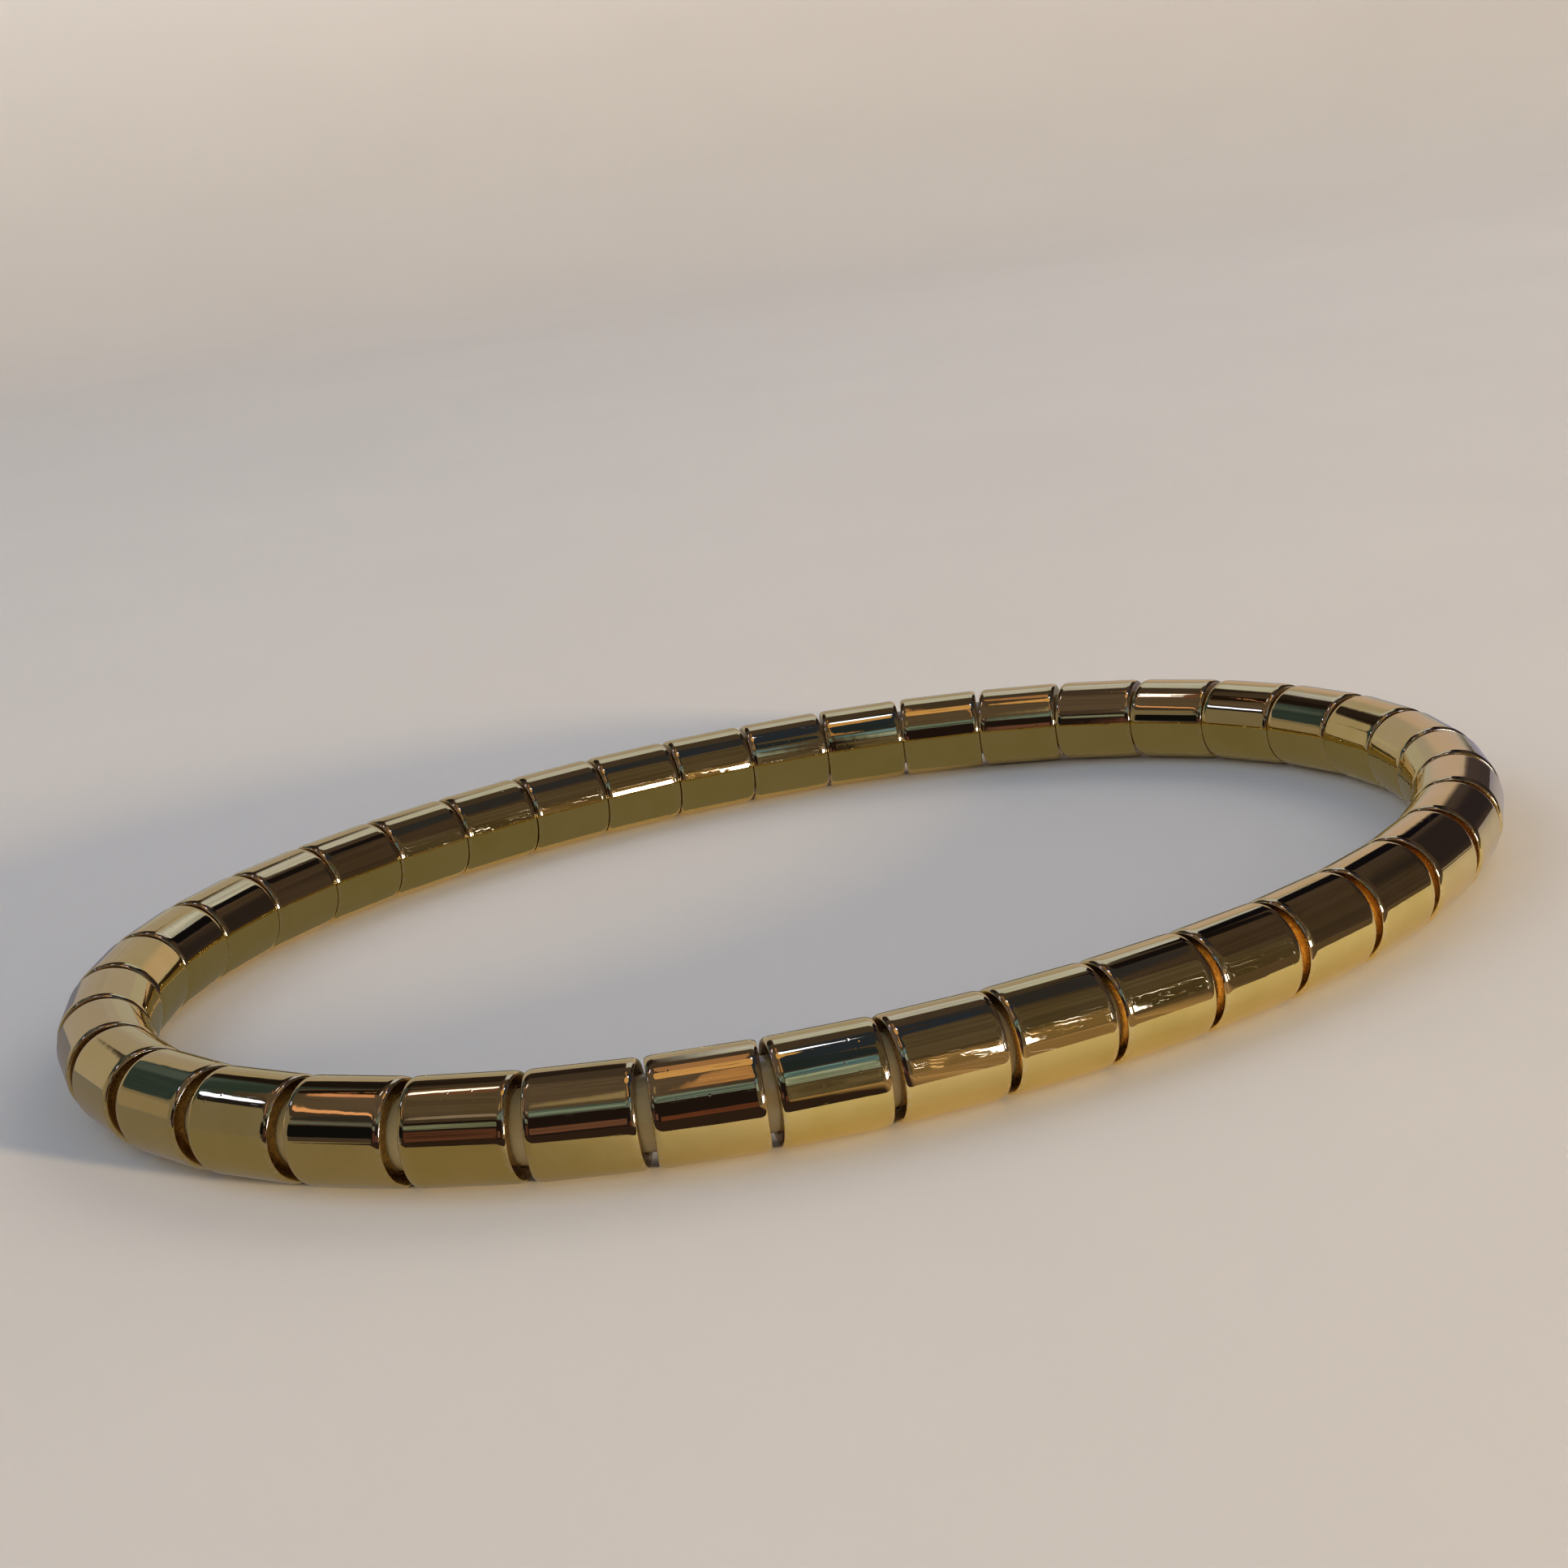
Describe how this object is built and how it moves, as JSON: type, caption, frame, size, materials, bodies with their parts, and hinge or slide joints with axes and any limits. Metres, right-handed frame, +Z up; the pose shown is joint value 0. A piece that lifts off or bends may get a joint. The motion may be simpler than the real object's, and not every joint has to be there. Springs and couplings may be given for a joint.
{
  "type": "stretch bangle bracelet",
  "caption": "Slim stretch bangle of identical polished gold tubes threaded on an elastic core, lying flat as a slight oval; the tubes spread apart to pass over the hand.",
  "frame": {"origin": "centre of the ring, on the plane the bangle lies on", "axes": "+Z up out of the plane the bangle lies on, +X along the oval's long axis, +Y along its short axis"},
  "size_m": [0.0682, 0.0542, 0.0042],
  "materials": {
    "gold": "mirror polished yellow gold plating over brass, with fine handling scratches and softened rims",
    "elastic": "smooth translucent pale silicone",
    "plug_metal": "turned stainless steel, hidden inside the core"
  },
  "bodies": {
    "core": {"elastic_core": "elastic"},
    "tube_01": {"tube_01": "gold"},
    "tube_02": {"tube_02": "gold"},
    "tube_03": {"tube_03": "gold"},
    "tube_04": {"tube_04": "gold"},
    "tube_05": {"tube_05": "gold"},
    "tube_06": {"tube_06": "gold"},
    "tube_07": {"tube_07": "gold"},
    "tube_08": {"tube_08": "gold", "core_plug": "plug_metal"},
    "tube_09": {"tube_09": "gold"},
    "tube_10": {"tube_10": "gold"},
    "tube_11": {"tube_11": "gold"},
    "tube_12": {"tube_12": "gold"},
    "tube_13": {"tube_13": "gold"},
    "tube_14": {"tube_14": "gold"},
    "tube_15": {"tube_15": "gold"},
    "tube_16": {"tube_16": "gold"},
    "tube_17": {"tube_17": "gold"},
    "tube_18": {"tube_18": "gold"},
    "tube_19": {"tube_19": "gold"},
    "tube_20": {"tube_20": "gold"},
    "tube_21": {"tube_21": "gold"},
    "tube_22": {"tube_22": "gold"},
    "tube_23": {"tube_23": "gold"},
    "tube_24": {"tube_24": "gold"},
    "tube_25": {"tube_25": "gold"},
    "tube_26": {"tube_26": "gold"},
    "tube_27": {"tube_27": "gold"},
    "tube_28": {"tube_28": "gold"},
    "tube_29": {"tube_29": "gold"},
    "tube_30": {"tube_30": "gold"},
    "tube_31": {"tube_31": "gold"},
    "tube_32": {"tube_32": "gold"},
    "tube_33": {"tube_33": "gold"},
    "tube_34": {"tube_34": "gold"},
    "tube_35": {"tube_35": "gold"},
    "tube_36": {"tube_36": "gold"},
    "tube_37": {"tube_37": "gold"},
    "tube_38": {"tube_38": "gold"},
    "tube_39": {"tube_39": "gold"},
    "tube_40": {"tube_40": "gold"}
  },
  "joints": [
    {"name": "stretch_01", "type": "slide", "parent": "core", "child": "tube_01", "axis": [0.9974, 0.0722, 0], "range_m": [0, 0.00637], "stiffness_N_per_m": 33, "deforming": ["elastic_core"]},
    {"name": "stretch_02", "type": "slide", "parent": "core", "child": "tube_02", "axis": [0.9765, 0.2154, 0], "range_m": [0, 0.00631], "stiffness_N_per_m": 33},
    {"name": "stretch_03", "type": "slide", "parent": "core", "child": "tube_03", "axis": [0.9349, 0.3548, 0], "range_m": [0, 0.00618], "stiffness_N_per_m": 33},
    {"name": "stretch_04", "type": "slide", "parent": "core", "child": "tube_04", "axis": [0.8728, 0.488, 0], "range_m": [0, 0.00601], "stiffness_N_per_m": 33},
    {"name": "stretch_05", "type": "slide", "parent": "core", "child": "tube_05", "axis": [0.7902, 0.6129, 0], "range_m": [0, 0.0058], "stiffness_N_per_m": 33},
    {"name": "stretch_06", "type": "slide", "parent": "core", "child": "tube_06", "axis": [0.687, 0.7267, 0], "range_m": [0, 0.00558], "stiffness_N_per_m": 33},
    {"name": "stretch_07", "type": "slide", "parent": "core", "child": "tube_07", "axis": [0.5633, 0.8262, 0], "range_m": [0, 0.00538], "stiffness_N_per_m": 33},
    {"name": "stretch_08", "type": "slide", "parent": "core", "child": "tube_08", "axis": [0.4201, 0.9075, 0], "range_m": [0, 0.0052], "stiffness_N_per_m": 33},
    {"name": "stretch_09", "type": "slide", "parent": "core", "child": "tube_09", "axis": [0.2599, 0.9656, 0], "range_m": [0, 0.00507], "stiffness_N_per_m": 33},
    {"name": "stretch_10", "type": "slide", "parent": "core", "child": "tube_10", "axis": [0.088, 0.9961, 0], "range_m": [0, 0.005], "stiffness_N_per_m": 33},
    {"name": "stretch_11", "type": "slide", "parent": "core", "child": "tube_11", "axis": [-0.088, 0.9961, 0], "range_m": [0, 0.005], "stiffness_N_per_m": 33},
    {"name": "stretch_12", "type": "slide", "parent": "core", "child": "tube_12", "axis": [-0.2599, 0.9656, 0], "range_m": [0, 0.00507], "stiffness_N_per_m": 33},
    {"name": "stretch_13", "type": "slide", "parent": "core", "child": "tube_13", "axis": [-0.4201, 0.9075, 0], "range_m": [0, 0.0052], "stiffness_N_per_m": 33},
    {"name": "stretch_14", "type": "slide", "parent": "core", "child": "tube_14", "axis": [-0.5633, 0.8262, 0], "range_m": [0, 0.00538], "stiffness_N_per_m": 33},
    {"name": "stretch_15", "type": "slide", "parent": "core", "child": "tube_15", "axis": [-0.687, 0.7267, 0], "range_m": [0, 0.00558], "stiffness_N_per_m": 33},
    {"name": "stretch_16", "type": "slide", "parent": "core", "child": "tube_16", "axis": [-0.7902, 0.6129, 0], "range_m": [0, 0.0058], "stiffness_N_per_m": 33},
    {"name": "stretch_17", "type": "slide", "parent": "core", "child": "tube_17", "axis": [-0.8728, 0.488, 0], "range_m": [0, 0.00601], "stiffness_N_per_m": 33},
    {"name": "stretch_18", "type": "slide", "parent": "core", "child": "tube_18", "axis": [-0.9349, 0.3548, 0], "range_m": [0, 0.00618], "stiffness_N_per_m": 33},
    {"name": "stretch_19", "type": "slide", "parent": "core", "child": "tube_19", "axis": [-0.9765, 0.2154, 0], "range_m": [0, 0.00631], "stiffness_N_per_m": 33},
    {"name": "stretch_20", "type": "slide", "parent": "core", "child": "tube_20", "axis": [-0.9974, 0.0722, 0], "range_m": [0, 0.00637], "stiffness_N_per_m": 33},
    {"name": "stretch_21", "type": "slide", "parent": "core", "child": "tube_21", "axis": [-0.9974, -0.0722, 0], "range_m": [0, 0.00637], "stiffness_N_per_m": 33},
    {"name": "stretch_22", "type": "slide", "parent": "core", "child": "tube_22", "axis": [-0.9765, -0.2154, 0], "range_m": [0, 0.00631], "stiffness_N_per_m": 33},
    {"name": "stretch_23", "type": "slide", "parent": "core", "child": "tube_23", "axis": [-0.9349, -0.3548, 0], "range_m": [0, 0.00618], "stiffness_N_per_m": 33},
    {"name": "stretch_24", "type": "slide", "parent": "core", "child": "tube_24", "axis": [-0.8728, -0.488, 0], "range_m": [0, 0.00601], "stiffness_N_per_m": 33},
    {"name": "stretch_25", "type": "slide", "parent": "core", "child": "tube_25", "axis": [-0.7902, -0.6129, 0], "range_m": [0, 0.0058], "stiffness_N_per_m": 33},
    {"name": "stretch_26", "type": "slide", "parent": "core", "child": "tube_26", "axis": [-0.687, -0.7267, 0], "range_m": [0, 0.00558], "stiffness_N_per_m": 33},
    {"name": "stretch_27", "type": "slide", "parent": "core", "child": "tube_27", "axis": [-0.5633, -0.8262, 0], "range_m": [0, 0.00538], "stiffness_N_per_m": 33},
    {"name": "stretch_28", "type": "slide", "parent": "core", "child": "tube_28", "axis": [-0.4201, -0.9075, 0], "range_m": [0, 0.0052], "stiffness_N_per_m": 33},
    {"name": "stretch_29", "type": "slide", "parent": "core", "child": "tube_29", "axis": [-0.2599, -0.9656, 0], "range_m": [0, 0.00507], "stiffness_N_per_m": 33},
    {"name": "stretch_30", "type": "slide", "parent": "core", "child": "tube_30", "axis": [-0.088, -0.9961, 0], "range_m": [0, 0.005], "stiffness_N_per_m": 33},
    {"name": "stretch_31", "type": "slide", "parent": "core", "child": "tube_31", "axis": [0.088, -0.9961, 0], "range_m": [0, 0.005], "stiffness_N_per_m": 33},
    {"name": "stretch_32", "type": "slide", "parent": "core", "child": "tube_32", "axis": [0.2599, -0.9656, 0], "range_m": [0, 0.00507], "stiffness_N_per_m": 33},
    {"name": "stretch_33", "type": "slide", "parent": "core", "child": "tube_33", "axis": [0.4201, -0.9075, 0], "range_m": [0, 0.0052], "stiffness_N_per_m": 33},
    {"name": "stretch_34", "type": "slide", "parent": "core", "child": "tube_34", "axis": [0.5633, -0.8262, 0], "range_m": [0, 0.00538], "stiffness_N_per_m": 33},
    {"name": "stretch_35", "type": "slide", "parent": "core", "child": "tube_35", "axis": [0.687, -0.7267, 0], "range_m": [0, 0.00558], "stiffness_N_per_m": 33},
    {"name": "stretch_36", "type": "slide", "parent": "core", "child": "tube_36", "axis": [0.7902, -0.6129, 0], "range_m": [0, 0.0058], "stiffness_N_per_m": 33},
    {"name": "stretch_37", "type": "slide", "parent": "core", "child": "tube_37", "axis": [0.8728, -0.488, 0], "range_m": [0, 0.00601], "stiffness_N_per_m": 33},
    {"name": "stretch_38", "type": "slide", "parent": "core", "child": "tube_38", "axis": [0.9349, -0.3548, 0], "range_m": [0, 0.00618], "stiffness_N_per_m": 33},
    {"name": "stretch_39", "type": "slide", "parent": "core", "child": "tube_39", "axis": [0.9765, -0.2154, 0], "range_m": [0, 0.00631], "stiffness_N_per_m": 33},
    {"name": "stretch_40", "type": "slide", "parent": "core", "child": "tube_40", "axis": [0.9974, -0.0722, 0], "range_m": [0, 0.00637], "stiffness_N_per_m": 33}
  ],
  "couplings": [
    {"joint": "stretch_02", "follows": "stretch_01", "ratio": 0.98957},
    {"joint": "stretch_03", "follows": "stretch_01", "ratio": 0.96973},
    {"joint": "stretch_04", "follows": "stretch_01", "ratio": 0.94242},
    {"joint": "stretch_05", "follows": "stretch_01", "ratio": 0.91023},
    {"joint": "stretch_06", "follows": "stretch_01", "ratio": 0.87622},
    {"joint": "stretch_07", "follows": "stretch_01", "ratio": 0.84365},
    {"joint": "stretch_08", "follows": "stretch_01", "ratio": 0.81568},
    {"joint": "stretch_09", "follows": "stretch_01", "ratio": 0.79519},
    {"joint": "stretch_10", "follows": "stretch_01", "ratio": 0.78434},
    {"joint": "stretch_11", "follows": "stretch_01", "ratio": 0.78434},
    {"joint": "stretch_12", "follows": "stretch_01", "ratio": 0.79519},
    {"joint": "stretch_13", "follows": "stretch_01", "ratio": 0.81568},
    {"joint": "stretch_14", "follows": "stretch_01", "ratio": 0.84365},
    {"joint": "stretch_15", "follows": "stretch_01", "ratio": 0.87622},
    {"joint": "stretch_16", "follows": "stretch_01", "ratio": 0.91023},
    {"joint": "stretch_17", "follows": "stretch_01", "ratio": 0.94242},
    {"joint": "stretch_18", "follows": "stretch_01", "ratio": 0.96973},
    {"joint": "stretch_19", "follows": "stretch_01", "ratio": 0.98957},
    {"joint": "stretch_20", "follows": "stretch_01", "ratio": 1},
    {"joint": "stretch_21", "follows": "stretch_01", "ratio": 1},
    {"joint": "stretch_22", "follows": "stretch_01", "ratio": 0.98957},
    {"joint": "stretch_23", "follows": "stretch_01", "ratio": 0.96973},
    {"joint": "stretch_24", "follows": "stretch_01", "ratio": 0.94242},
    {"joint": "stretch_25", "follows": "stretch_01", "ratio": 0.91023},
    {"joint": "stretch_26", "follows": "stretch_01", "ratio": 0.87622},
    {"joint": "stretch_27", "follows": "stretch_01", "ratio": 0.84365},
    {"joint": "stretch_28", "follows": "stretch_01", "ratio": 0.81568},
    {"joint": "stretch_29", "follows": "stretch_01", "ratio": 0.79519},
    {"joint": "stretch_30", "follows": "stretch_01", "ratio": 0.78434},
    {"joint": "stretch_31", "follows": "stretch_01", "ratio": 0.78434},
    {"joint": "stretch_32", "follows": "stretch_01", "ratio": 0.79519},
    {"joint": "stretch_33", "follows": "stretch_01", "ratio": 0.81568},
    {"joint": "stretch_34", "follows": "stretch_01", "ratio": 0.84365},
    {"joint": "stretch_35", "follows": "stretch_01", "ratio": 0.87622},
    {"joint": "stretch_36", "follows": "stretch_01", "ratio": 0.91023},
    {"joint": "stretch_37", "follows": "stretch_01", "ratio": 0.94242},
    {"joint": "stretch_38", "follows": "stretch_01", "ratio": 0.96973},
    {"joint": "stretch_39", "follows": "stretch_01", "ratio": 0.98957},
    {"joint": "stretch_40", "follows": "stretch_01", "ratio": 1}
  ]
}
